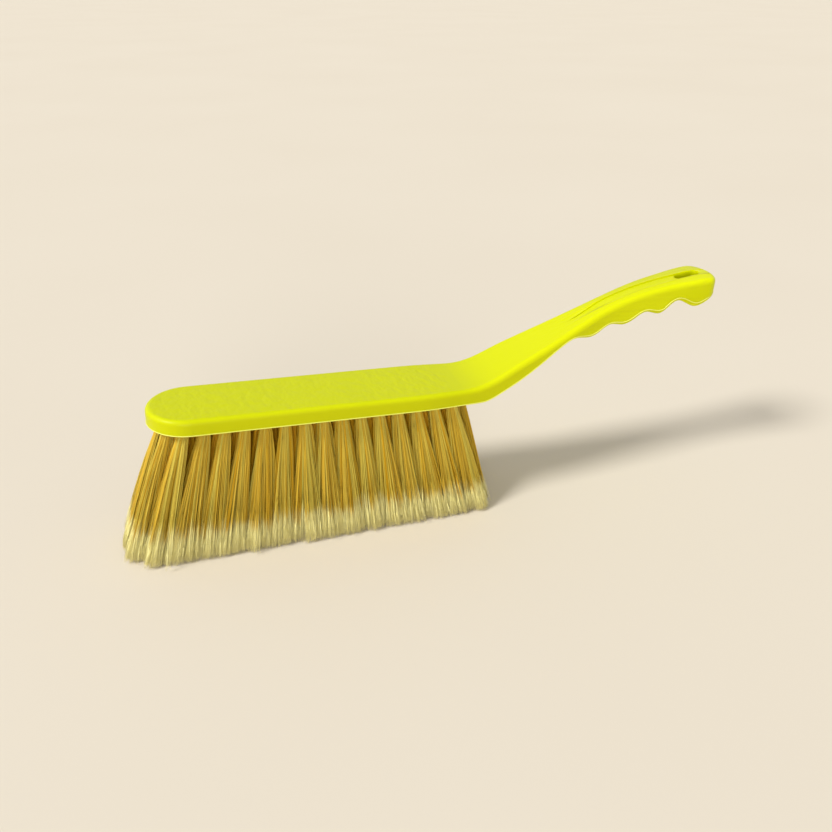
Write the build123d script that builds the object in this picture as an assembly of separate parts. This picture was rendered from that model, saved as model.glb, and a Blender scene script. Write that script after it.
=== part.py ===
"""Hand broom: a moulded head with its handle, and tufts set in blind holes by flat anchors.

The broom stands on its trimmed bristle tips, which lie in the plane Z = 0. X runs from the toe
to the end of the handle, and the broom is the same on both sides of Y = 0. The origin is the
bottom centre of the whole broom. Sizes are in millimetres and degrees.
"""
import math
import os

from build123d import *
from OCP.BRepFilletAPI import BRepFilletAPI_MakeFillet

# Moulded block: head, neck and grip in one piece
head_length = 179.4        # from the toe to where the handle starts to rise
head_width = 46.8
head_thickness = 9.3
top_round = 3.0            # rounding along the whole upper edge
handle_length = 167.0      # along the head's plane, from the end of the head
handle_rise = 55.7         # of the upper surface, above the head's top
waist_width = 21.6         # narrowest place, between neck and grip
grip_width = 29.6          # near the end of the handle
neck_lead_share = 0.6      # of head_width: stretch of the head where its sides draw in
end_round = 9.0            # length of the rounded end
lip_round = 0.4            # rounding of the head's lower edge, which is a crisp lip
under_round = 2.4          # the same edge at the end of the grip: it grows along the handle
hang_slot_length = 16.5
hang_slot_width = 7.5
hang_slot_from_end = 16.5  # centre of the slot to the end of the handle
groove_width = 8.0         # shallow groove along the top of the grip
groove_depth = 0.7

# Outlines of the handle, as shares chosen by hand. The first number is a share of
# handle_length. The second is a share of handle_rise for the upper line, and of the whole
# height of the handle for the lower line.
upper_shares = [(0.18, 0.173), (0.29, 0.33), (0.39, 0.472), (0.57, 0.727), (0.75, 0.9), (0.9, 0.982)]
under_shares = [(0.13, 0.055), (0.216, 0.172), (0.306, 0.318), (0.38, 0.446), (0.43, 0.5),
                (0.497, 0.493), (0.536, 0.54), (0.576, 0.592), (0.624, 0.58), (0.672, 0.633),
                (0.714, 0.692), (0.766, 0.67), (0.833, 0.79), (0.903, 0.728), (0.965, 0.8)]
under_start_share = 0.06   # where the underside of the neck leaves that of the head
under_end_share = 0.86     # height of the underside at the end of the handle
neck_shares = [(0.0, 0.857), (0.18, 0.66), (0.39, 0.3)]    # width from waist (0) to head (1)
waist_share = 0.57
grip_shares = [(0.743, 0.3), (0.815, 0.54), (0.886, 0.88)]  # width from waist (0) to grip (1)
groove_start_share = 0.42  # the groove fades in here, and ends in the slot
groove_full_share = 0.6

# Trim: the block stands over the tips, with its toe a little higher than its heel
trim_length = 75.3         # head's underside to the tips, at trim_datum
trim_datum = 99.4          # distance of that place from the toe
trim_tilt = 2.08

# Tufts: two edge rows joined round the toe, and two inner rows
edge_inset = 8.0           # outer tufts to the edge of the head
edge_pitch = 11.0
edge_row_count = 14        # in each straight edge row
edge_row_start = 173.0     # place of the tuft nearest the handle, from the toe
toe_tuft_count = 5
toe_tuft_step = 36.0       # angle between tufts round the toe
inner_row_spacing = 10.2   # between the two inner rows
inner_row_count = 12       # in each inner row
inner_row_start = 181.4
inner_pitch = 14.6
hole_diameter = 5.0
hole_depth = 6.8
plug_clearance = 0.05      # between the folded root of a tuft and its hole
plug_stand_out = 0.9       # round root of the tuft below the head's underside
fan_centre = 102.4         # place where tufts stand square to the tips, from the toe
toe_flare = 27.0           # lean of the toe's tips beyond their roots
heel_flare = 14.8
side_flare = 7.4

# Strands: each stands for a few dozen filaments of its tuft
strands_around = 7         # round one strand at the centre
strand_root_width = 0.95
strand_tip_width = 2.0
strand_root_ring = 1.55    # radius of the ring of strands at the root
strand_tip_ring_x = 4.6
strand_tip_ring_y = 5.2
strand_sink = 1.3          # how far a strand starts inside the root

# Anchors: flat wire pieces across the fold of each tuft
anchor_width = 5.6
anchor_thickness = 0.3
anchor_height = 1.6
anchor_fold = 1.4          # thickness of the fold over the anchor
anchor_fit = 0.03

overrun = 6.0              # how far cutting shapes run past what they cut
snug = 0.1                 # places nearer than this count as the same
upward_limit = 0.5         # a face whose normal rises by more than this share faces up
full_turn = 360

handle_height = head_thickness + handle_rise
neck_lead = neck_lead_share * head_width
handle_end = head_length + handle_length
head_half = head_width / 2
waist_half = waist_width / 2
grip_half = grip_width / 2
edge_row_y = head_half - edge_inset
inner_row_y = inner_row_spacing / 2


def handle_points(shares, base=0.0, height=handle_height):
    """Places in the side view for pairs of shares."""
    return [(head_length + along * handle_length, base + up * height) for along, up in shares]


def side_solid(upper_edges, lower_edges):
    """A side view between an upper and a lower run of edges, as wide as the head."""
    start, end = upper_edges[0] @ 0, upper_edges[-1] @ 1
    low_start, low_end = lower_edges[0] @ 0, lower_edges[-1] @ 1
    closing = [Line(end, low_end), Line(low_start, start)]
    outline = make_face(upper_edges + lower_edges + closing)
    return extrude(Plane.XZ * outline, head_half + overrun, both=True)


def plan_solid():
    """The view from above, as high as the handle."""
    neck = [
        (head_length + along * handle_length, waist_half + wide * (head_half - waist_half))
        for along, wide in neck_shares
    ]
    waist = [(head_length + waist_share * handle_length, waist_half)]
    grip = [
        (head_length + along * handle_length, waist_half + wide * (grip_half - waist_half))
        for along, wide in grip_shares
    ]
    neck_begin = (head_length - neck_lead, head_half)
    grip_stop = (handle_end - end_round, grip_half)
    toe = CenterArc((head_half, 0), head_half, 90, 90)
    side = Line((head_half, head_half), neck_begin)
    flank = Spline([neck_begin] + neck + waist + grip + [grip_stop], tangents=[(1, 0), (1, 0)])
    end = EllipticalCenterArc(
        (handle_end - end_round, 0), end_round, grip_half, arc_size=90
    )
    half_outline = [toe, side, flank, end]
    outline = make_face(half_outline + [mirror(edge, about=Plane.XZ) for edge in half_outline])
    return Pos(0, 0, -overrun) * extrude(outline, handle_height + 2 * overrun)


def upper_line(drop=0.0):
    """The upper line of the side view, from before the toe to past the end."""
    top = head_thickness - drop
    corner = (head_length, top)
    last = (handle_end, top + handle_rise)
    curve = Spline([corner] + handle_points(upper_shares, top, handle_rise) + [last],
                   tangents=[(1, 0), (1, 0)])
    return [Line((-overrun, top), corner), curve, Line(last, (handle_end + overrun, top + handle_rise))]


def single_edges(faces):
    """The edges that only one of the faces has: the outside edges of the group."""
    edges = [edge for face in faces for edge in face.edges()]
    return [edge for edge in edges if sum(edge.is_same(other) for other in edges) == 1]


def round_lower_edge(solid, heel_x):
    """Round the lower edge: lip_round on the head, growing to under_round at the grip's end."""
    lower_faces = [face for face in solid.faces() if face.normal_at().Z < -upward_limit]
    builder = BRepFilletAPI_MakeFillet(solid.wrapped)
    builder.Add(lip_round, single_edges(lower_faces)[0].wrapped)
    for contour in range(1, builder.NbContours() + 1):
        for index in range(1, builder.NbEdges(contour) + 1):
            edge = Edge(builder.Edge(contour, index))
            ends = [
                under_round if (edge @ along).X > heel_x + snug else lip_round
                for along in (0, 1)
            ]
            builder.SetRadius(*ends, contour, index)
    return Part(builder.Shape())


def make_moulding():
    """Head, neck and grip with rounded edges, before anything is cut out."""
    heel = (head_length + under_start_share * handle_length, 0)
    stop = (handle_end + overrun, under_end_share * handle_height)
    points = handle_points(under_shares)
    leaving = Vector(*stop) - Vector(*points[-1])
    under = Spline([heel] + points + [stop], tangents=[(1, 0), leaving])
    solid = side_solid(upper_line(), [Line((-overrun, 0), heel), under]) & plan_solid()
    upper_faces = [face for face in solid.faces() if face.normal_at().Z > upward_limit]
    solid = fillet(single_edges(upper_faces), top_round)
    return round_lower_edge(solid, heel[0])


def make_slot():
    """The hang slot's cutting shape, straight down through the end of the grip."""
    outline = SlotOverall(hang_slot_length, hang_slot_width)
    place = Pos(handle_end - hang_slot_from_end, 0, 0)
    return place * extrude(outline, handle_height + overrun)


def make_groove():
    """The cutting shape of the shallow groove along the top of the grip."""
    groove_begin = head_length + groove_start_share * handle_length
    groove_full = head_length + groove_full_share * handle_length
    groove_stop = handle_end - hang_slot_from_end
    half = groove_width / 2
    sides = [
        Spline([(groove_begin, 0), (groove_full, half)], tangents=[(1, 0), (1, 0)]),
        Line((groove_full, half), (groove_stop, half)),
    ]
    close = Line((groove_stop, half), (groove_stop, -half))
    outline = make_face(sides + [close] + [mirror(edge, about=Plane.XZ) for edge in sides])
    column = extrude(outline, handle_height + overrun)
    below = Line((-overrun, -overrun), (handle_end + overrun, -overrun))
    return column - side_solid(upper_line(groove_depth), [below])


def place_on_trim(shape):
    """Stand a shape of the head's own frame over the plane of the tips."""
    pivot = Pos(trim_datum, 0, 0)
    return Pos(0, 0, trim_length) * pivot * Rot(0, trim_tilt, 0) * pivot.inverse() * shape


def tuft_roots():
    """Names and places of the tufts' roots on the head's underside."""
    roots = {}
    toe_angles = [(k - (toe_tuft_count - 1) / 2) * toe_tuft_step for k in range(toe_tuft_count)]
    row_x = [edge_row_start - k * edge_pitch for k in range(edge_row_count)]
    edge = [(x, -edge_row_y) for x in row_x]
    edge += [
        (head_half - edge_row_y * math.cos(math.radians(angle)),
         edge_row_y * math.sin(math.radians(angle)))
        for angle in toe_angles
    ]
    edge += [(x, edge_row_y) for x in reversed(row_x)]
    inner_x = [inner_row_start - k * inner_pitch for k in range(inner_row_count)]
    inner = [(x, -inner_row_y) for x in inner_x] + [(x, inner_row_y) for x in reversed(inner_x)]
    for number, place in enumerate(edge, 1):
        roots[f"edge_tuft_{number:02d}"] = place
    for number, place in enumerate(inner, 1):
        roots[f"inner_tuft_{number:02d}"] = place
    return roots


def tip_for(root, place):
    """Where a tuft's middle meets the plane of the tips."""
    along = place[0] - fan_centre
    toe_reach = fan_centre - (head_half - edge_row_y)
    heel_reach = inner_row_start - fan_centre
    lean_x = toe_flare * along / toe_reach if along < 0 else heel_flare * along / heel_reach
    lean_y = side_flare * place[1] / edge_row_y
    return Vector(root.X + lean_x, root.Y + lean_y, 0)


def tuft_frame(root, tip):
    """A plane at the root, with Z along the tuft towards its tip."""
    return Plane(origin=root, x_dir=(1, 0, 0), z_dir=tip - root)


def anchor_place(frame):
    """The middle of a tuft's anchor, in the frame of its root."""
    return frame.location * Pos(0, 0, -hole_depth + anchor_fold + anchor_height / 2)


def make_hole(frame):
    """The blind hole of one tuft with the pocket that its anchor bites into the wall."""
    length = hole_depth + overrun
    hole = frame.location * Pos(0, 0, length / 2 - hole_depth) * Cylinder(hole_diameter / 2, length)
    pocket = anchor_place(frame) * Box(
        anchor_width + 2 * anchor_fit,
        anchor_thickness + 2 * anchor_fit,
        anchor_height + 2 * anchor_fit,
    )
    return [hole, pocket]


def make_anchor(frame):
    """One flat wire anchor across its hole."""
    return anchor_place(frame) * Box(anchor_width, anchor_thickness, anchor_height)


def make_strand(base, tip, angle, ring_root, ring_tip):
    """One four-sided strand from the root to the plane of the tips."""
    turn = Rot(0, 0, angle)
    cosine, sine = math.cos(math.radians(angle)), math.sin(math.radians(angle))
    low = tip + Vector(ring_tip[0] * cosine, ring_tip[1] * sine)
    high = base + Vector(ring_root * cosine, ring_root * sine)
    upper_end = Pos(high) * turn * Rectangle(strand_root_width, strand_root_width)
    lower_end = Pos(low) * turn * Rectangle(strand_tip_width, strand_tip_width)
    corners = upper_end.vertices() + lower_end.vertices()
    return ConvexPolyhedron([corner.center() for corner in corners])


def make_tuft(root, tip):
    """The folded root in its hole, with the strands fused to it."""
    frame = tuft_frame(root, tip)
    length = hole_depth + plug_stand_out
    radius = hole_diameter / 2 - plug_clearance
    plug = frame.location * Pos(0, 0, length / 2 - hole_depth) * Cylinder(radius, length)
    window = anchor_place(frame) * Box(
        hole_diameter, anchor_thickness + 2 * anchor_fit, anchor_height + 2 * anchor_fit
    )
    base = root + (root - tip) * (strand_sink / root.Z)
    ring_tip = (strand_tip_ring_x, strand_tip_ring_y)
    strands = [make_strand(base, tip, 0, 0, (0, 0))]
    for k in range(strands_around):
        angle = k * full_turn / strands_around
        strands.append(make_strand(base, tip, angle, strand_root_ring, ring_tip))
    return (plug - window) + strands


def make_parts():
    """Every node of the broom by name."""
    blank = make_moulding() - make_slot() - make_groove()
    parts = {}
    holes, anchors = [], []
    for name, place in tuft_roots().items():
        root = place_on_trim(Pos(*place, 0)).position
        tip = tip_for(root, place)
        frame = tuft_frame(root, tip)
        holes += make_hole(frame)
        anchors.append(make_anchor(frame))
        parts[name] = make_tuft(root, tip)
    parts["handle_block"] = place_on_trim(blank) - holes
    parts["tuft_anchors"] = Compound(children=anchors)
    return parts


def centre_parts(parts):
    """Move every part so that the origin is the bottom centre of the whole broom."""
    boxes = [part.bounding_box() for part in parts.values()]
    low = min(box.min.X for box in boxes)
    high = max(box.max.X for box in boxes)
    shift = Pos(-(low + high) / 2, 0, 0)
    return {name: shift * part for name, part in parts.items()}


if __name__ == "__main__":
    os.makedirs("parts", exist_ok=True)
    for name, part in centre_parts(make_parts()).items():
        export_step(part, f"parts/{name}.step")
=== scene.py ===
"""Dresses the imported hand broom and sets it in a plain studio.

The moulded block and the anchors keep their CAD meshes and get finishes. Every CAD tuft is
replaced by a bundle of fine filaments in the same place. Sizes are in millimetres where a
field says so, and MM turns them to metres.
"""

import logging
import math
from dataclasses import dataclass, replace
from enum import Enum

import bmesh
import bpy
import numpy as np
from mathutils import Matrix, Vector


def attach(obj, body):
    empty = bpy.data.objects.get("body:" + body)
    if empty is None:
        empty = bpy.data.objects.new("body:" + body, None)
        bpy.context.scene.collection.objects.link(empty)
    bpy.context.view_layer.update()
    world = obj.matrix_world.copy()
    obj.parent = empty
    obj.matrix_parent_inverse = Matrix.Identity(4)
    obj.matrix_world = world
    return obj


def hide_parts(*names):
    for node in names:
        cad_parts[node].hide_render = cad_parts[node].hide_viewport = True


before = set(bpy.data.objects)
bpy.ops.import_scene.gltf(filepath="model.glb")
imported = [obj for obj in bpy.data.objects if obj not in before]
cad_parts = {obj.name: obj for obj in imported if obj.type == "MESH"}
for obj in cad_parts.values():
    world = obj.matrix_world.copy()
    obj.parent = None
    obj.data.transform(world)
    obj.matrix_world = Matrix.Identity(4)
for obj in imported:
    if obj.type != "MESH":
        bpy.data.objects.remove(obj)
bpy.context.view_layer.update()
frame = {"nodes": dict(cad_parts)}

MM = 0.001
ROOT_BODY = "root"
PHOTO_SIDE = 832
WORLD_UP = Vector((0, 0, 1))
SRGB_KNEE = 0.04045
SRGB_SLOPE = 12.92
SRGB_OFFSET = 0.055
SRGB_POWER = 2.4
MIX_FIRST = 6
MIX_SECOND = 7
MIX_RESULT = 2

log = logging.getLogger("hand_broom")


def linear_colour(code: str) -> tuple[float, float, float, float]:
    """Turns an sRGB hex colour to linear.

    Args:
        code: Six hex digits, such as "E2E618".

    Returns:
        Red, green, blue and an alpha of one.
    """
    channels = [int(code[k:k + 2], 16) / 255 for k in (0, 2, 4)]
    lit = [
        c / SRGB_SLOPE if c <= SRGB_KNEE else ((c + SRGB_OFFSET) / (1 + SRGB_OFFSET)) ** SRGB_POWER
        for c in channels
    ]
    return (*lit, 1.0)


def add_node(tree: bpy.types.NodeTree, kind: str, settings: dict | None = None,
             values: dict | None = None, links: dict | None = None) -> bpy.types.Node:
    """Adds one node to a tree with its settings, values and links.

    Args:
        tree: The material's or world's node tree.
        kind: The node's type name, without the leading ShaderNode.
        settings: Properties of the node by name.
        values: Values of its input sockets, by name or number.
        links: Output sockets that feed its inputs, by name or number.

    Returns:
        The new node.
    """
    node = tree.nodes.new(f"ShaderNode{kind}")
    for name, value in (settings or {}).items():
        setattr(node, name, value)
    for name, value in (values or {}).items():
        node.inputs[name].default_value = value
    for name, socket in (links or {}).items():
        tree.links.new(socket, node.inputs[name])
    return node


def add_math(tree: bpy.types.NodeTree, operation: str,
             *terms: float | bpy.types.NodeSocket) -> bpy.types.NodeSocket:
    """Adds one step of arithmetic.

    Args:
        tree: The material's or world's node tree.
        operation: The operation's name.
        terms: Numbers and output sockets, in order.

    Returns:
        The result.
    """
    values = {k: term for k, term in enumerate(terms) if isinstance(term, float)}
    links = {k: term for k, term in enumerate(terms) if not isinstance(term, float)}
    step = add_node(tree, "Math", settings={"operation": operation}, values=values, links=links)
    return step.outputs[0]


def add_range(tree: bpy.types.NodeTree, value: bpy.types.NodeSocket, start: float, end: float,
              before: float = 0.0, after: float = 1.0,
              smooth: bool = False) -> bpy.types.NodeSocket:
    """Adds a value that goes from one number to another while its source crosses a range.

    Args:
        tree: The material's node tree.
        value: The source.
        start: Where on the source the change starts.
        end: Where it ends.
        before: The result at the start.
        after: The result at the end.
        smooth: Whether the change eases in and out.

    Returns:
        The result.
    """
    change = add_node(
        tree, "MapRange",
        settings={"interpolation_type": "SMOOTHSTEP" if smooth else "LINEAR"},
        values={"From Min": start, "From Max": end, "To Min": before, "To Max": after},
        links={"Value": value},
    )
    return change.outputs["Result"]


def add_noise(tree: bpy.types.NodeTree, place: bpy.types.NodeSocket, size_mm: float,
              detail: float = 2.0) -> bpy.types.NodeSocket:
    """Adds a noise pattern.

    Args:
        tree: The material's node tree.
        place: Coordinates in metres.
        size_mm: Size of its patches.
        detail: How many finer layers lie over it.

    Returns:
        The pattern, from zero to one.
    """
    noise = add_node(tree, "TexNoise", values={"Scale": 1 / (size_mm * MM), "Detail": detail},
                     links={"Vector": place})
    return noise.outputs["Fac"]


def add_mix(tree: bpy.types.NodeTree, share: bpy.types.NodeSocket,
            first: str | bpy.types.NodeSocket,
            second: str | bpy.types.NodeSocket) -> bpy.types.NodeSocket:
    """Mixes two colours, each given as an sRGB hex colour or as an output socket.

    Args:
        tree: The material's node tree.
        share: Zero for the first colour and one for the second.
        first: The first colour.
        second: The second colour.

    Returns:
        The mixed colour.
    """
    values, links = {}, {0: share}
    for number, colour in ((MIX_FIRST, first), (MIX_SECOND, second)):
        if isinstance(colour, str):
            values[number] = linear_colour(colour)
        else:
            links[number] = colour
    mix = add_node(tree, "Mix", settings={"data_type": "RGBA"}, values=values, links=links)
    return mix.outputs[MIX_RESULT]


def add_stretch(tree: bpy.types.NodeTree, place: bpy.types.NodeSocket,
                scale: tuple[float, float, float],
                turn: tuple[float, float, float] = (0.0, 0.0, 0.0)) -> bpy.types.NodeSocket:
    """Turns and stretches coordinates, so that a pattern runs one way.

    Args:
        tree: The material's node tree.
        place: Coordinates in metres.
        scale: Scale along each axis.
        turn: Turn about each axis, in degrees.

    Returns:
        The new coordinates.
    """
    stretched = add_node(
        tree, "Mapping",
        values={"Rotation": tuple(math.radians(angle) for angle in turn), "Scale": scale},
        links={"Vector": place},
    )
    return stretched.outputs["Vector"]


def add_bump(tree: bpy.types.NodeTree, height: bpy.types.NodeSocket, height_mm: float,
             mask: bpy.types.NodeSocket | None = None,
             under: bpy.types.NodeSocket | None = None) -> bpy.types.NodeSocket:
    """Adds relief to the surface.

    Args:
        tree: The material's node tree.
        height: The relief, from zero to one.
        height_mm: Its full height.
        mask: Where it lies, or everywhere.
        under: The normal of the relief that it lies on, if there is one.

    Returns:
        The new normal.
    """
    links = {"Height": height}
    if mask is not None:
        links["Strength"] = mask
    if under is not None:
        links["Normal"] = under
    bump = add_node(tree, "Bump", values={"Strength": 1.0, "Distance": height_mm * MM}, links=links)
    return bump.outputs["Normal"]


def new_material(name: str) -> tuple[bpy.types.Material, bpy.types.NodeTree, bpy.types.NodeSocket]:
    """Makes an empty node material.

    Args:
        name: The material's name.

    Returns:
        The material, its node tree and object coordinates.
    """
    material = bpy.data.materials.new(name)
    material.use_nodes = True
    tree = material.node_tree
    tree.nodes.clear()
    return material, tree, add_node(tree, "TexCoord").outputs["Object"]


def finish_surface(tree: bpy.types.NodeTree, values: dict, links: dict) -> None:
    """Ends a material in a Principled shader and its output.

    Args:
        tree: The material's node tree.
        values: Constants for the shader's own sockets.
        links: Output sockets that feed the shader.
    """
    shader = add_node(tree, "BsdfPrincipled", values=values, links=links)
    add_node(tree, "OutputMaterial", links={"Surface": shader.outputs["BSDF"]})


def add_piece(name: str, mesh: bpy.types.Mesh) -> bpy.types.Object:
    """Links a mesh as a piece of the broom that rides on its only body.

    Args:
        name: The piece's name.
        mesh: Its mesh, already in place.

    Returns:
        The new object.
    """
    piece = bpy.data.objects.new(name, mesh)
    bpy.context.scene.collection.objects.link(piece)
    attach(piece, ROOT_BODY)
    return piece


class Slot(Enum):
    """Material slot names of the record; no piece in this script is given them."""

    BLOCK = "block_plastic"
    BRISTLE = "bristle_filament"


@dataclass(frozen=True)
class MouldedPolypropylene:
    """Injection-moulded polypropylene, lemon yellow-green, with a satin skin.

    The eye sees one strong colour with a soft broad gloss and a very fine grain from the mould.
    It is painted deepest on the walls of the head, as painted shade, and brightest along the
    handle, as painted light. The top of the head has a faint mottled emboss that ends in an arc,
    and the groove of the grip has soft raised lips. The thin plastic round the hanging slot lets more
    light through.
    """

    colour: str = "C7CD02"
    worn_colour: str = "CED304"
    drift_mm: float = 38.0
    # Painted shade: the walls of the head take this deeper colour in place of the shade on their
    # sides.
    painted_shade_wall_colour: str = "C0C200"
    painted_shade_facing: tuple[float, float] = (0.3, 0.8)
    # Painted light: the handle takes this brighter colour in place of the light that falls on it.
    painted_light_handle_colour: str = "D3D703"
    painted_light_wall_share: float = 0.45
    handle_start_mm: float = 10.0
    handle_fade_mm: float = 60.0
    roughness: float = 0.42
    polished_roughness: float = 0.34
    ior: float = 1.49
    shine: float = 0.12
    grain_mm: float = 0.9
    grain_detail: float = 3.0
    grain_height_mm: float = 0.012
    emboss_mm: float = 4.6
    emboss_detail: float = 1.5
    emboss_stretch: float = 0.6
    emboss_turn: float = 52.0
    emboss_height_mm: float = 0.6
    emboss_end_mm: float = 14.0
    emboss_arc: float = 9.0
    emboss_fade_mm: float = 3.0
    emboss_facing: tuple[float, float] = (0.93, 0.99)
    flow_mm: float = 2.2
    flow_detail: float = 1.0
    flow_stretch: float = 0.03
    grip_slope: float = 14.0
    flow_height_mm: float = 0.22
    flow_start_mm: float = 50.0
    flow_fade_mm: float = 40.0
    lip_inner_mm: float = 2.8
    lip_top_mm: float = 4.4
    lip_outer_mm: float = 13.5
    lip_height_mm: float = 1.5
    lip_start_mm: float = 86.0
    lip_fade_mm: float = 34.0
    lip_facing: tuple[float, float] = (0.75, 0.9)
    glow: float = 0.35
    glow_depth_mm: float = 3.0
    slot_glow: float = 1.0
    slot_glow_depth_mm: float = 9.0
    slot_start_mm: float = 146.0
    slot_fade_mm: float = 14.0

    def material(self) -> bpy.types.Material:
        """Builds the material."""
        material, tree, place = new_material("moulded_polypropylene")
        x, y, _ = add_node(tree, "SeparateXYZ", links={"Vector": place}).outputs
        drift = add_noise(tree, place, self.drift_mm)
        slot = (self.slot_start_mm, self.slot_fade_mm)
        normal = add_bump(tree, add_noise(tree, place, self.grain_mm, self.grain_detail),
                          self.grain_height_mm)
        normal = add_bump(tree, self.emboss_height(tree, place), self.emboss_height_mm,
                          self.emboss_mask(tree, x, y), normal)
        normal = add_bump(tree, self.flow_height(tree, place), self.flow_height_mm,
                          self.along(tree, x, self.flow_start_mm, self.flow_fade_mm), normal)
        normal = add_bump(tree, self.lip_height(tree, y), self.lip_height_mm,
                          self.lip_mask(tree, x), normal)
        finish_surface(
            tree,
            values={
                "IOR": self.ior, "Specular IOR Level": self.shine,
                "Subsurface Radius": linear_colour(self.colour)[:3],
            },
            links={
                "Base Color": self.base_colour(tree, x, drift),
                "Roughness": add_range(tree, drift, 0.0, 1.0, self.polished_roughness,
                                       self.roughness),
                "Normal": normal,
                "Subsurface Weight": self.along(tree, x, *slot, self.glow, self.slot_glow),
                "Subsurface Scale": self.along(tree, x, *slot, self.glow_depth_mm * MM,
                                               self.slot_glow_depth_mm * MM),
            },
        )
        return material

    def along(self, tree: bpy.types.NodeTree, x: bpy.types.NodeSocket, start_mm: float,
              fade_mm: float, before: float = 0.0, after: float = 1.0) -> bpy.types.NodeSocket:
        """Adds a value that changes once along the broom.

        Args:
            tree: The material's node tree.
            x: Place along the broom.
            start_mm: Where the change starts.
            fade_mm: Length of the change.
            before: The value towards the toe.
            after: The value towards the end of the handle.

        Returns:
            The value.
        """
        return add_range(tree, x, start_mm * MM, (start_mm + fade_mm) * MM, before, after)

    def facing_up(self, tree: bpy.types.NodeTree,
                  limits: tuple[float, float]) -> bpy.types.NodeSocket:
        """Adds a mask of the faces that look up.

        Args:
            tree: The material's node tree.
            limits: Upward share of the normal at which the mask starts, and is full.

        Returns:
            One on upper faces and zero elsewhere.
        """
        normal = add_node(tree, "TexCoord").outputs["Normal"]
        facing = add_node(tree, "SeparateXYZ", links={"Vector": normal})
        return add_range(tree, facing.outputs["Z"], *limits)

    def base_colour(self, tree: bpy.types.NodeTree, x: bpy.types.NodeSocket,
                    drift: bpy.types.NodeSocket) -> bpy.types.NodeSocket:
        """Adds the colour, with painted shade on the walls and painted light along the handle.

        Args:
            tree: The material's node tree.
            x: Place along the broom.
            drift: A slow change of tone over the whole block.

        Returns:
            The colour.
        """
        handle = (self.handle_start_mm, self.handle_fade_mm)
        head_top = add_mix(tree, drift, self.colour, self.worn_colour)
        # Painted light: from the neck onwards the top turns to the brighter handle colour.
        top = add_mix(tree, self.along(tree, x, *handle), head_top, self.painted_light_handle_colour)
        wall_share = self.along(tree, x, *handle, 0.0, self.painted_light_wall_share)
        # Painted shade on the walls, which gives way along the handle to part of its painted light.
        wall = add_mix(tree, wall_share, self.painted_shade_wall_colour, self.painted_light_handle_colour)
        # Faces that look up take the top colour; the rest take the wall's painted shade.
        return add_mix(tree, self.facing_up(tree, self.painted_shade_facing), wall, top)

    def emboss_height(self, tree: bpy.types.NodeTree,
                      place: bpy.types.NodeSocket) -> bpy.types.NodeSocket:
        """Adds the slanting mottle of the head's top.

        Args:
            tree: The material's node tree.
            place: Object coordinates.

        Returns:
            The height of the pattern.
        """
        turned = add_stretch(tree, place, (1.0, self.emboss_stretch, 1.0),
                             (0.0, 0.0, self.emboss_turn))
        return add_noise(tree, turned, self.emboss_mm, self.emboss_detail)

    def emboss_mask(self, tree: bpy.types.NodeTree, x: bpy.types.NodeSocket,
                    y: bpy.types.NodeSocket) -> bpy.types.NodeSocket:
        """Adds the mask that holds the mottle on the head, up to an arc before the neck.

        Args:
            tree: The material's node tree.
            x: Place along the broom.
            y: Place across it.

        Returns:
            One on the patterned part of the top and zero elsewhere.
        """
        bow = add_math(tree, "MULTIPLY", y, y)
        edge = add_math(tree, "MULTIPLY_ADD", bow, self.emboss_arc, x)
        fade = add_range(tree, edge, self.emboss_end_mm * MM,
                         (self.emboss_end_mm - self.emboss_fade_mm) * MM)
        return add_math(tree, "MULTIPLY", fade, self.facing_up(tree, self.emboss_facing))

    def flow_height(self, tree: bpy.types.NodeTree,
                    place: bpy.types.NodeSocket) -> bpy.types.NodeSocket:
        """Adds the faint lines that the melt left along the handle.

        Args:
            tree: The material's node tree.
            place: Object coordinates.

        Returns:
            The height of the lines.
        """
        stretched = add_stretch(tree, place, (self.flow_stretch, 1.0, 1.0),
                                (0.0, self.grip_slope, 0.0))
        return add_noise(tree, stretched, self.flow_mm, self.flow_detail)

    def lip_height(self, tree: bpy.types.NodeTree,
                   y: bpy.types.NodeSocket) -> bpy.types.NodeSocket:
        """Adds the lips on both sides of the groove: steep inside, and falling gently outwards.

        Args:
            tree: The material's node tree.
            y: Place across the broom.

        Returns:
            The height of the lips.
        """
        aside = add_math(tree, "ABSOLUTE", y)
        rise = add_range(tree, aside, self.lip_inner_mm * MM, self.lip_top_mm * MM, smooth=True)
        fall = add_range(tree, aside, self.lip_outer_mm * MM, self.lip_top_mm * MM)
        return add_math(tree, "MULTIPLY", rise, fall)

    def lip_mask(self, tree: bpy.types.NodeTree,
                 x: bpy.types.NodeSocket) -> bpy.types.NodeSocket:
        """Adds the mask that holds the groove's lips on the top of the grip.

        Args:
            tree: The material's node tree.
            x: Place along the broom.

        Returns:
            One on the top of the grip and zero elsewhere.
        """
        along = self.along(tree, x, self.lip_start_mm, self.lip_fade_mm)
        return add_math(tree, "MULTIPLY", along, self.facing_up(tree, self.lip_facing))


@dataclass(frozen=True)
class FlashPolypropylene:
    """The thin flash of the same polypropylene along the parting line of the mould.

    The eye sees a line paler than the walls: a painted highlight along the foot of the wall.
    """

    # Painted highlight: both colours are paler than the walls, to give the line at the wall's foot
    # its highlight.
    colour: str = "DBDC44"
    painted_highlight_colour: str = "E4E46C"
    roughness: float = 0.4
    ior: float = 1.49
    patch_mm: float = 9.0

    def material(self) -> bpy.types.Material:
        """Builds the material."""
        material, tree, place = new_material("parting_flash_painted_highlight")
        patches = add_noise(tree, place, self.patch_mm)
        finish_surface(tree, values={"IOR": self.ior, "Roughness": self.roughness},
                       links={"Base Color": add_mix(tree, patches, self.colour, self.painted_highlight_colour)})
        return material


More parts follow.
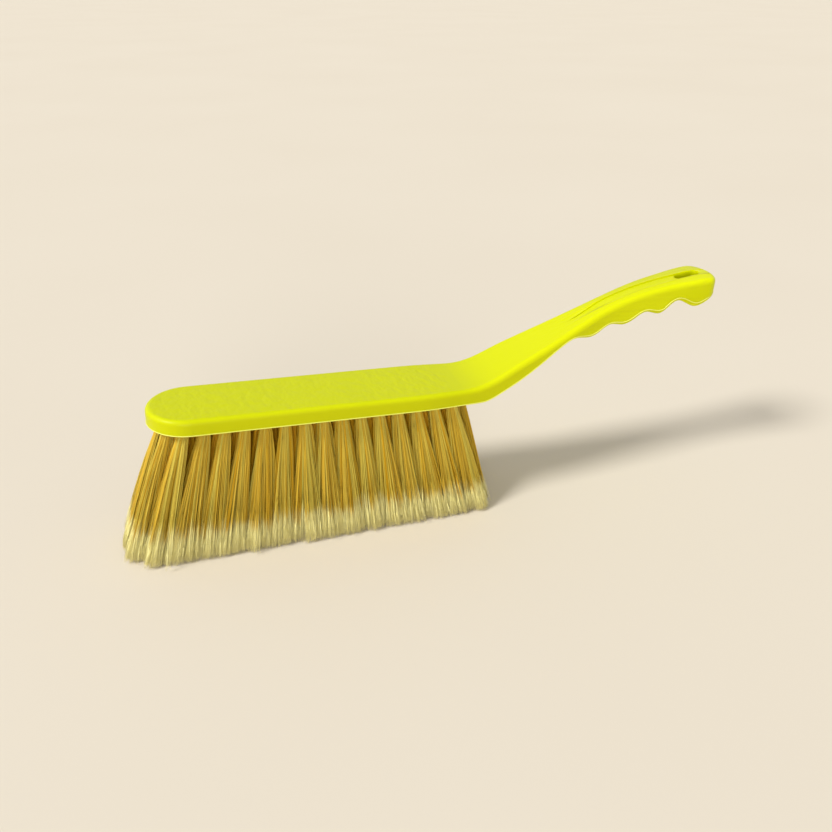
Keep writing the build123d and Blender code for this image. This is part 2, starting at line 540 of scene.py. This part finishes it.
@dataclass(frozen=True)
class PolyesterFilament:
    """Drawn polyester filament, golden, with the tips split and pale.

    The eye sees golden threads, each a little lighter or deeper than the next. The inner tufts, seen
    between the edge tufts, carry an amber colour, painted light that stands in for light glowing
    through their shaded filaments. The last stretch is flagged: split so fine that it scatters light
    and looks cream.
    """

    # Painted light: the amber of the inner tufts stands in for light glowing through the shaded
    # filaments between the tufts; the filaments are all of one make.
    painted_glow_colour: str = "EFB41C"
    deep_colour: str = "DAA80C"
    light_colour: str = "D8CA5A"
    tip_colour: str = "FDF3A8"
    roughness: float = 0.45
    ior: float = 1.55
    shine: float = 0.2
    inner_tone: float = -0.5
    flag_start: float = 0.79
    flag_blend: float = 0.07
    flag_wander: float = 0.14
    wander_mm: float = 11.0
    wander_detail: float = 1.0
    tone_wander: float = 0.12

    def material(self) -> bpy.types.Material:
        """Builds the material."""
        material, tree, place = new_material("golden_polyester_filament")
        along, tone = (
            add_node(tree, "Attribute", settings={"attribute_name": mark}).outputs["Fac"]
            for mark in (Filament.ALONG, Filament.TONE)
        )
        outer = add_mix(tree, tone, self.deep_colour, self.light_colour)
        # Tones below zero, which only the inner tufts carry, turn to the amber painted glow.
        depth = add_range(tree, tone, 0.0, self.inner_tone)
        golden = add_mix(tree, depth, outer, self.painted_glow_colour)
        wander = add_noise(tree, place, self.wander_mm, self.wander_detail)
        shifted = add_math(tree, "MULTIPLY_ADD", wander, self.flag_wander, along)
        own = add_math(tree, "MULTIPLY_ADD", tone, self.tone_wander, shifted)
        middle = self.flag_start + (self.flag_wander + self.tone_wander) / 2
        flagged = add_range(tree, own, middle - self.flag_blend, middle + self.flag_blend,
                            smooth=True)
        finish_surface(
            tree,
            values={"IOR": self.ior, "Roughness": self.roughness, "Specular IOR Level": self.shine},
            links={"Base Color": add_mix(tree, flagged, golden, self.tip_colour)},
        )
        return material


@dataclass(frozen=True)
class DrawnSteelWire:
    """Flat steel wire, drawn bright and cut to short anchors.

    The eye sees grey metal with faint lines along the wire.
    """

    colour: str = "A9A49A"
    dull_colour: str = "8C877E"
    roughness: float = 0.38
    line_mm: float = 0.25
    line_stretch: float = 0.05

    def material(self) -> bpy.types.Material:
        """Builds the material."""
        material, tree, place = new_material("drawn_steel_wire")
        stretched = add_stretch(tree, place, (self.line_stretch, 1.0, 1.0))
        lines = add_noise(tree, stretched, self.line_mm)
        finish_surface(tree, values={"Metallic": 1.0, "Roughness": self.roughness},
                       links={"Base Color": add_mix(tree, lines, self.colour, self.dull_colour)})
        return material


@dataclass(frozen=True)
class PaleFloor:
    """Matt painted board under the broom.

    The eye sees a warm, pale, plain ground with very faint patches.
    """

    colour: str = "E4DAC8"
    patch_colour: str = "E0D5C2"
    roughness: float = 0.8
    patch_mm: float = 400.0

    def material(self) -> bpy.types.Material:
        """Builds the material."""
        material, tree, place = new_material("pale_floor_board")
        patches = add_noise(tree, place, self.patch_mm)
        finish_surface(tree, values={"Roughness": self.roughness},
                       links={"Base Color": add_mix(tree, patches, self.colour, self.patch_colour)})
        return material


@dataclass
class Filament:
    """One straight three-sided filament of length one, whose end is split in fine threads."""

    stem_mm: float = 0.38
    stem_end_share: float = 0.8
    thread_mm: float = 0.2
    thread_end_share: float = 0.55
    thread_spread_mm: float = 0.6
    split_at: float = 0.75
    threads: int = 3
    sides: int = 3
    stem_steps: int = 6
    thread_steps: int = 2

    ALONG = "along_filament"
    TONE = "filament_tone"

    def strut(self, bm: bmesh.types.BMesh, start: float, end: float, width: float,
              end_width: float, steps: int) -> list[bmesh.types.BMVert]:
        """Adds one closed tapered strut along Z, cut in steps.

        Args:
            bm: Where it goes.
            start: Its lowest place along the filament.
            end: Its highest place.
            width: Its thickness at the start, in metres.
            end_width: Its thickness at the end.
            steps: Number of stretches.

        Returns:
            Its vertices.
        """
        made = bmesh.ops.create_cone(
            bm, cap_ends=True, segments=self.sides, radius1=width / 2, radius2=end_width / 2,
            depth=end - start, matrix=Matrix.Translation((0, 0, (start + end) / 2)),
        )
        verts = made["verts"]
        for k in range(1, steps):
            height = start + (end - start) * k / steps
            edges = {edge for vert in verts for edge in vert.link_edges}
            faces = {face for vert in verts for face in vert.link_faces}
            cut = bmesh.ops.bisect_plane(
                bm, geom=list(verts) + list(edges) + list(faces), plane_co=(0, 0, height),
                plane_no=WORLD_UP,
            )
            verts = verts + [item for item in cut["geom_cut"] if isinstance(item, bmesh.types.BMVert)]
        return verts

    def mesh(self) -> bpy.types.Mesh:
        """Builds the mesh, with Z from zero at the root to one at the tip."""
        bm = bmesh.new()
        stem = self.stem_mm * MM
        self.strut(bm, 0.0, self.split_at, stem, stem * self.stem_end_share, self.stem_steps)
        for k in range(self.threads):
            thread = self.thread_mm * MM
            verts = self.strut(bm, self.split_at, 1.0, thread, thread * self.thread_end_share,
                               self.thread_steps)
            angle = 2 * math.pi * (k + 0.5) / self.threads
            away = Vector((math.cos(angle), math.sin(angle), 0)) * self.thread_spread_mm * MM
            for vert in verts:
                vert.co += away * (vert.co.z - self.split_at) / (1 - self.split_at)
        bmesh.ops.recalc_face_normals(bm, faces=bm.faces)
        for face in bm.faces:
            face.smooth = True
        mesh = bpy.data.meshes.new("straight_filament")
        bm.to_mesh(mesh)
        bm.free()
        return mesh


@dataclass(frozen=True)
class TuftShape:
    """Sizes and tones of a fanned tuft, which the tufts of a row share."""

    reach_x_mm: float
    reach_y_mm: float
    fan_power: float
    back_power: float
    tone_start: float
    tone_share: float


@dataclass
class BristleField:
    """All tufts of the head, each a bundle of filaments in place of its CAD tuft."""

    filaments: int = 290
    hole_depth_mm: float = 6.8
    root_radius_mm: float = 2.3
    squareness: float = 4.0
    shell_power: float = 0.34
    sink_mm: float = 4.0
    bundles: int = 5
    bundle_pull: float = 0.1
    bundle_wander_mm: float = 0.6
    pull_spread: tuple[float, float] = (0.5, 1.2)
    wisps: int = 46
    wisp_pull: float = 0.36
    wisp_wander_mm: float = 0.5
    wisp_tone_share: float = 0.7
    bow_mm: float = 0.8
    bow_spread: tuple[float, float] = (0.6, 1.1)
    lean_bulge: float = 0.2
    stray_share: float = 0.08
    tip_wander_mm: float = 0.8
    back_gain: float = 2.5
    split_wander: float = 0.14
    end_softness_mm: float = 1.0
    root_margins_mm: tuple[float, float] = (-2.6, 1.0)
    tip_margins_mm: tuple[float, float] = (-4.8, 1.8)
    stray_mm: float = 2.2
    short_mm: float = 2.2
    crown_mm: float = 0.35
    tip_band_mm: float = 0.2
    cap_band_mm: float = 0.02
    seed: int = 20731
    edge_shape: TuftShape = TuftShape(reach_x_mm=8.2, reach_y_mm=6.2, fan_power=1.05,
                                      back_power=0.45, tone_start=0.0, tone_share=1.0)
    # The inner tufts' tones start below zero, so they take the amber painted glow; the heel's inner
    # tufts keep the plain golden tones.
    inner_shape: TuftShape = TuftShape(reach_x_mm=10.0, reach_y_mm=10.0, fan_power=0.26,
                                       back_power=0.26, tone_start=-0.6, tone_share=0.25)
    heel_shape: TuftShape = replace(inner_shape, tone_start=0.0, tone_share=1.0)
    heel_band_mm: float = 4.0

    def ends(self, node: bpy.types.Object) -> tuple[Vector, Vector]:
        """Finds the mouth of a tuft's hole and the middle of its tips from its CAD mesh.

        Args:
            node: The CAD tuft.

        Returns:
            The middle of the root at the mouth of the hole, and of the tips on the floor.
        """
        places = np.zeros(len(node.data.vertices) * 3)
        node.data.vertices.foreach_get("co", places)
        places = places.reshape(-1, 3)
        tip = places[places[:, 2] < places[:, 2].min() + self.tip_band_mm * MM].mean(axis=0)
        height = places[:, 2].max()
        inner = places[places[:, 2] > height - self.sink_mm * MM].mean(axis=0)
        axis = (tip - inner) / np.linalg.norm(tip - inner)
        depth = places @ axis
        cap = places[depth < depth.min() + self.cap_band_mm * MM].mean(axis=0)
        return Vector(cap + axis * self.hole_depth_mm * MM), Vector(tip)

    def scatter(self, rng: np.random.Generator) -> tuple[np.ndarray, np.ndarray]:
        """Spreads the filaments over a disc of radius one, more of them towards its rim.

        Args:
            rng: The tuft's own random numbers.

        Returns:
            Radius and angle of every filament.
        """
        order = np.arange(self.filaments) + 0.5
        radius = (order / self.filaments) ** self.shell_power
        golden_angle = math.pi * (3 - math.sqrt(5))
        angle = order * golden_angle + rng.uniform(0, 2 * math.pi)
        return radius, angle

    def gather(self, places: np.ndarray, groups: int, pull: float, wander_mm: float,
               rng: np.random.Generator) -> tuple[np.ndarray, np.ndarray]:
        """Draws places together in groups, and moves each group a little.

        Args:
            places: Places on the floor.
            groups: Number of groups.
            pull: Share of the way that a place moves to the middle of its group.
            wander_mm: How far a group strays.
            rng: The tuft's own random numbers.

        Returns:
            The new places, and the group of each.
        """
        centres = places[rng.choice(len(places), groups, replace=False)]
        group = np.argmin(np.linalg.norm(places[:, None] - centres[None], axis=2), axis=1)
        own_pull = pull * rng.uniform(*self.pull_spread, (len(places), 1))
        wander = rng.normal(0, wander_mm * MM, (groups, 2))
        return places + (centres[group] - places) * own_pull + wander[group], group

    def held_in(self, plan: np.ndarray, below: np.ndarray, ends: np.ndarray) -> None:
        """Keeps the filaments between the two ends of the field, with a soft stop.

        Args:
            plan: Places of the filaments on the floor, which are changed.
            below: How far down each place is, from zero at the mouth of the hole to one.
            ends: Lowest and highest place along the broom, first of the roots, then of the tips.
        """
        soft = self.end_softness_mm * MM
        low, high = (ends[0, k] + (ends[1, k] - ends[0, k]) * below for k in (0, 1))
        x = high - soft * np.logaddexp(0, (high - plan[:, :, 0]) / soft)
        plan[:, :, 0] = low + soft * np.logaddexp(0, (x - low) / soft)

    def shifted_splits(self, along: np.ndarray, rng: np.random.Generator) -> np.ndarray:
        """Moves the place where each filament splits, a little for each.

        Args:
            along: Places along the straight filament.
            rng: The tuft's own random numbers.

        Returns:
            A row of places for every filament.
        """
        split = Filament.split_at
        ends = split + self.split_wander * rng.uniform(-1, 1, (self.filaments, 1))
        lower = along * ends / split
        upper = 1 - (1 - along) * (1 - ends) / (1 - split)
        return np.where(along < split, lower, upper)

    def paths(self, root: Vector, tip: Vector, shape: TuftShape, along: np.ndarray,
              ends: np.ndarray, rng: np.random.Generator) -> tuple[np.ndarray, np.ndarray]:
        """Works out the line of every filament, and how light it is.

        Args:
            root: Middle of the tuft at the mouth of its hole.
            tip: Middle of its tips.
            shape: How far the tuft fans.
            along: Places along every filament, from zero at its root to one.
            ends: Lowest and highest place along the broom, first of the roots, then of the tips.
            rng: The tuft's own random numbers.

        Returns:
            A place for every filament and every place along it, and a tone for each filament.
        """
        count = self.filaments
        radius, angle = self.scatter(rng)
        disc = np.stack([radius * np.cos(angle), radius * np.sin(angle)], axis=1)
        root_off = disc * self.root_radius_mm * MM
        reach = np.array([shape.reach_x_mm, shape.reach_y_mm]) * MM
        power = self.squareness
        corner = (np.abs(np.cos(angle)) ** power + np.abs(np.sin(angle)) ** power) ** (1 / power)
        tip_off = disc / corner[:, None] * reach
        tip_off, _ = self.gather(tip_off, self.bundles, self.bundle_pull, self.bundle_wander_mm, rng)
        tip_off, wisp = self.gather(tip_off, self.wisps, self.wisp_pull, self.wisp_wander_mm, rng)
        stray = rng.random((count, 1)) < self.stray_share
        tip_off = tip_off + stray * rng.normal(0, self.stray_mm * MM, (count, 2))
        tip_off = tip_off + rng.normal(0, self.tip_wander_mm * MM, (count, 2))
        bow = rng.normal(0, self.bow_mm * MM, (self.wisps, 2))[wisp]
        bow = bow * rng.uniform(*self.bow_spread, (count, 1))
        lean = np.array([tip.x - root.x, tip.y - root.y])
        sink = self.sink_mm * MM
        drop = root.z + sink
        mouth = sink / drop
        travel = (along - mouth) / (1 - mouth)
        below = np.clip(travel, 0, 1)
        inward = -lean / np.linalg.norm(lean)
        behind = np.clip(disc @ inward * self.back_gain, 0, 1)[:, None]
        fan = below ** (shape.fan_power + (shape.back_power - shape.fan_power) * behind)
        leaning = travel + self.lean_bulge * below * (1 - below)
        plan = (
            np.array([root.x, root.y])
            + lean * leaning[:, :, None]
            + root_off[:, None, :]
            + (tip_off - root_off)[:, None, :] * fan[:, :, None]
            + bow[:, None, :] * (np.sin(math.pi * below) * below)[:, :, None]
        )
        self.held_in(plan, below, ends)
        lift = rng.random(count) * self.short_mm * MM
        lift = lift + self.crown_mm * MM * np.linalg.norm(tip_off / reach, axis=1) ** 2
        height = drop - (drop - lift)[:, None] * along
        tone = rng.random(self.wisps)[wisp] * self.wisp_tone_share
        tone = tone + rng.random(count) * (1 - self.wisp_tone_share)
        # Inner tufts get tones below zero here, which the material turns into the amber painted glow.
        tone = shape.tone_start + tone * shape.tone_share
        return np.concatenate([plan, height[:, :, None]], axis=2), tone

    def build_tuft(self, name: str, node: bpy.types.Object, shape: TuftShape,
                   straight: bpy.types.Mesh, ends: np.ndarray,
                   seed: int) -> bpy.types.Object:
        """Builds one tuft and puts it in place of its CAD node.

        Args:
            name: The new piece's name.
            node: The CAD tuft.
            shape: How far the tuft fans.
            straight: The straight filament.
            ends: Lowest and highest place along the broom, first of the roots, then of the tips.
            seed: The start of its random numbers.

        Returns:
            The new piece.
        """
        rng = np.random.default_rng(seed)
        root, tip = self.ends(node)
        local = np.zeros(len(straight.vertices) * 3)
        straight.vertices.foreach_get("co", local)
        local = local.reshape(-1, 3)
        along = self.shifted_splits(local[:, 2], rng)
        lines, tones = self.paths(root, tip, shape, along, ends, rng)
        turn = rng.uniform(0, 2 * math.pi, self.filaments)
        cosine, sine = np.cos(turn)[:, None], np.sin(turn)[:, None]
        lines[:, :, 0] += local[None, :, 0] * cosine - local[None, :, 1] * sine
        lines[:, :, 1] += local[None, :, 0] * sine + local[None, :, 1] * cosine
        bm = bmesh.new()
        for _ in range(self.filaments):
            bm.from_mesh(straight)
        mesh = bpy.data.meshes.new(name)
        bm.to_mesh(mesh)
        bm.free()
        mesh.vertices.foreach_set("co", lines.astype(np.float32).ravel())
        marks = {
            Filament.ALONG: along.ravel(),
            Filament.TONE: np.repeat(tones, len(local)),
        }
        for mark, numbers in marks.items():
            layer = mesh.attributes.new(mark, "FLOAT", "POINT")
            layer.data.foreach_set("value", numbers.astype(np.float32))
        mesh.update()
        piece = add_piece(name, mesh)
        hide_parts(node.name)
        return piece

    def build(self, nodes: dict[str, bpy.types.Object]) -> list[bpy.types.Object]:
        """Builds every tuft of the head.

        Args:
            nodes: The CAD nodes by name.

        Returns:
            The new pieces.
        """
        straight = Filament().mesh()
        finish = PolyesterFilament().material()
        pieces = []
        names = sorted(n for n in nodes if "_tuft_" in n)
        middles = np.array([[end.x for end in self.ends(nodes[name])] for name in names])
        margins = np.array([self.root_margins_mm, self.tip_margins_mm]) * MM
        ends = np.stack([middles.min(axis=0), middles.max(axis=0)], axis=1)
        ends = ends + margins
        log.info("ends of the field: %s", ends)
        for number, name in enumerate(names):
            at_heel = middles[number, 0] > middles[:, 0].max() - self.heel_band_mm * MM
            inner_shape = self.heel_shape if at_heel else self.inner_shape
            shape = self.edge_shape if name.startswith("edge") else inner_shape
            piece = self.build_tuft(name.replace("_tuft_", "_bristles_"), nodes[name], shape,
                                    straight, ends, self.seed + number)
            piece.data.materials.append(finish)
            pieces.append(piece)
        return pieces


@dataclass
class MouldedBlock:
    """The moulded head, neck and grip, with the flash along its parting line."""

    tilt: float = 2.08
    flash_radius_mm: float = 0.34
    flash_rise_mm: float = 0.1
    flash_steps: int = 1
    spacing_mm: float = 1.5
    smoothing_rounds: int = 3
    weld_mm: float = 0.001
    wall_limit: float = 0.02
    least_line_mm: float = 60.0

    def foot_edges(self, bm: bmesh.types.BMesh) -> set[bmesh.types.BMEdge]:
        """Finds the edges where an upright wall meets a face that looks down."""
        up = Vector((math.sin(math.radians(self.tilt)), 0, math.cos(math.radians(self.tilt))))
        found = set()
        for edge in bm.edges:
            if len(edge.link_faces) == 2:
                low, high = sorted(face.normal.dot(up) for face in edge.link_faces)
                if low < -self.wall_limit < high < self.wall_limit:
                    found.add(edge)
        return found

    def lines_of(self, edges: set[bmesh.types.BMEdge]) -> list[np.ndarray]:
        """Strings edges together in lines.

        Args:
            edges: The edges, which are used up.

        Returns:
            The places along every line that is long enough to be part of the outline.
        """
        lines = []
        while edges:
            line = list(edges.pop().verts)
            for end in (0, -1):
                while onward := [edge for edge in line[end].link_edges if edge in edges]:
                    edges.discard(onward[0])
                    line.insert(0 if end == 0 else len(line), onward[0].other_vert(line[end]))
            places = np.array([vert.co for vert in line])
            if np.linalg.norm(np.diff(places, axis=0), axis=1).sum() > self.least_line_mm * MM:
                lines.append(places)
        return lines

    def wall_foot(self, node: bpy.types.Object) -> np.ndarray:
        """Follows the foot of the side wall all round the block.

        Args:
            node: The CAD block.

        Returns:
            Places in order round the block.
        """
        bm = bmesh.new()
        bm.from_mesh(node.data)
        bmesh.ops.remove_doubles(bm, verts=bm.verts, dist=self.weld_mm * MM)
        lines = self.lines_of(self.foot_edges(bm))
        bm.free()
        foot = lines.pop()
        while lines:
            gaps = [min(np.linalg.norm(line[k] - foot[-1]) for k in (0, -1)) for line in lines]
            line = lines.pop(int(np.argmin(gaps)))
            turned = np.linalg.norm(line[-1] - foot[-1]) < np.linalg.norm(line[0] - foot[-1])
            foot = np.vstack([foot, line[::-1] if turned else line])
        return foot

    def evened(self, loop: np.ndarray) -> np.ndarray:
        """Spaces a closed line's places evenly and smooths it.

        Args:
            loop: Places in order.

        Returns:
            New places on the same line.
        """
        closed = np.vstack([loop, loop[:1]])
        steps = np.linalg.norm(np.diff(closed, axis=0), axis=1)
        travelled = np.concatenate([[0], np.cumsum(steps)])
        count = int(travelled[-1] / (self.spacing_mm * MM))
        wanted = np.linspace(0, travelled[-1], count, endpoint=False)
        even = np.stack([np.interp(wanted, travelled, closed[:, k]) for k in range(3)], axis=1)
        for _ in range(self.smoothing_rounds):
            even = (np.roll(even, 1, axis=0) + 2 * even + np.roll(even, -1, axis=0)) / 4
        return even

    def flash(self, node: bpy.types.Object) -> bpy.types.Object:
        """Builds the thin flash along the foot of the wall.

        Args:
            node: The CAD block.

        Returns:
            The new piece.
        """
        line = self.evened(self.wall_foot(node))
        curve = bpy.data.curves.new("parting_flash_line", "CURVE")
        curve.dimensions = "3D"
        curve.bevel_depth = self.flash_radius_mm * MM
        curve.bevel_resolution = self.flash_steps
        spline = curve.splines.new("POLY")
        spline.points.add(len(line) - 1)
        for point, place in zip(spline.points, line):
            point.co = (*place[:2], place[2] + self.flash_rise_mm * MM, 1)
        spline.use_cyclic_u = True
        sweep = bpy.data.objects.new("parting_flash_sweep", curve)
        mesh = bpy.data.meshes.new_from_object(sweep)
        bpy.data.objects.remove(sweep)
        mesh.name = "parting_flash"
        mesh.materials.clear()
        mesh.materials.append(FlashPolypropylene().material())
        for face in mesh.polygons:
            face.use_smooth = True
        piece = add_piece("parting_flash", mesh)
        return piece

    def dress(self, node: bpy.types.Object) -> bpy.types.Object:
        """Gives the CAD block its plastic finish and adds the flash."""
        node.data.materials.clear()
        node.data.materials.append(MouldedPolypropylene().material())
        return self.flash(node)


@dataclass
class AnchorSet:
    """The flat wire anchors in the holes of the head."""

    def dress(self, node: bpy.types.Object) -> None:
        """Gives the CAD anchors their steel finish."""
        node.data.materials.clear()
        node.data.materials.append(DrawnSteelWire().material())


@dataclass
class Studio:
    """Floor, light and camera round the broom."""

    floor_size: float = 60.0
    floor_steps: int = 8
    camera_place: tuple[float, float, float] = (-0.14054, -0.43673, 0.30239)
    camera_elevation: float = 28.13
    camera_yaw: float = 17.07
    focal_pixels: float = 850.0
    sensor_mm: float = 36.0
    key_strength: float = 2.65
    key_angle: float = 16.0
    key_travel: tuple[float, float, float] = (0.68, 0.18, -0.71)
    fill_strength: float = 1.04
    fill_angle: float = 24.0
    fill_travel: tuple[float, float, float] = (0.27, 0.95, -0.2)
    sky_colour: str = "FFFFFF"
    sky_strength: float = 0.45
    backdrop_colour: str = "EBE3D3"

    def floor(self) -> bpy.types.Object:
        """Builds the floor."""
        bm = bmesh.new()
        bmesh.ops.create_grid(bm, x_segments=self.floor_steps, y_segments=self.floor_steps,
                              size=self.floor_size / 2)
        mesh = bpy.data.meshes.new("floor")
        bm.to_mesh(mesh)
        bm.free()
        mesh.materials.append(PaleFloor().material())
        floor = bpy.data.objects.new("floor", mesh)
        bpy.context.scene.collection.objects.link(floor)
        return floor

    def sun(self, name: str, strength: float, angle: float,
            travel: tuple[float, float, float]) -> None:
        """Adds a soft sun.

        Args:
            name: Its name.
            strength: Its strength.
            angle: How wide it is, in degrees.
            travel: The way that its light goes.
        """
        way = Vector(travel).normalized()
        sun = bpy.data.objects.new(name, bpy.data.lights.new(name, "SUN"))
        sun.location = -way
        sun.rotation_euler = way.to_track_quat("-Z", "Y").to_euler()
        sun.data.energy = strength
        sun.data.angle = math.radians(angle)
        bpy.context.scene.collection.objects.link(sun)

    def sky(self) -> None:
        """Adds an even sky, which the camera, metal and glass see as a pale backdrop."""
        world = bpy.data.worlds.new("studio_sky")
        world.use_nodes = True
        tree = world.node_tree
        tree.nodes.clear()
        rays = add_node(tree, "LightPath")
        seen = rays.outputs["Is Camera Ray"]
        for kind in ("Is Glossy Ray", "Is Transmission Ray"):
            seen = add_math(tree, "MAXIMUM", seen, rays.outputs[kind])
        light = add_node(tree, "Background", values={"Color": linear_colour(self.sky_colour),
                                                     "Strength": self.sky_strength})
        backdrop = add_node(tree, "Background",
                            values={"Color": linear_colour(self.backdrop_colour)})
        both = add_node(tree, "MixShader", links={0: seen, 1: light.outputs[0],
                                                  2: backdrop.outputs[0]})
        add_node(tree, "OutputWorld", links={"Surface": both.outputs[0]})
        bpy.context.scene.world = world

    def camera(self) -> None:
        """Sets the camera that looks on the broom from in front, a little above it."""
        data = bpy.data.cameras.new("camera")
        data.sensor_width = self.sensor_mm
        data.lens = self.focal_pixels / PHOTO_SIDE * self.sensor_mm
        camera = bpy.data.objects.new("camera", data)
        camera.location = self.camera_place
        camera.rotation_euler = (
            math.radians(90 - self.camera_elevation), 0, -math.radians(self.camera_yaw)
        )
        bpy.context.scene.collection.objects.link(camera)
        bpy.context.scene.camera = camera

    def build(self) -> None:
        """Builds the whole studio."""
        bpy.context.scene.view_settings.view_transform = "Standard"
        self.camera()
        self.floor()
        self.sun("key_light", self.key_strength, self.key_angle, self.key_travel)
        self.sun("fill_light", self.fill_strength, self.fill_angle, self.fill_travel)
        self.sky()


def main() -> None:
    """Builds the studio, then dresses the broom piece by piece."""
    logging.basicConfig(level=logging.INFO, format="%(name)s: %(message)s")
    nodes = frame["nodes"]
    Studio().build()
    flash = MouldedBlock().dress(nodes["handle_block"])
    log.info("handle_block dressed; %s: %d faces", flash.name, len(flash.data.polygons))
    AnchorSet().dress(nodes["tuft_anchors"])
    for piece in BristleField().build(nodes):
        log.info("%s: %d faces", piece.name, len(piece.data.polygons))


if __name__ == "__main__":
    main()
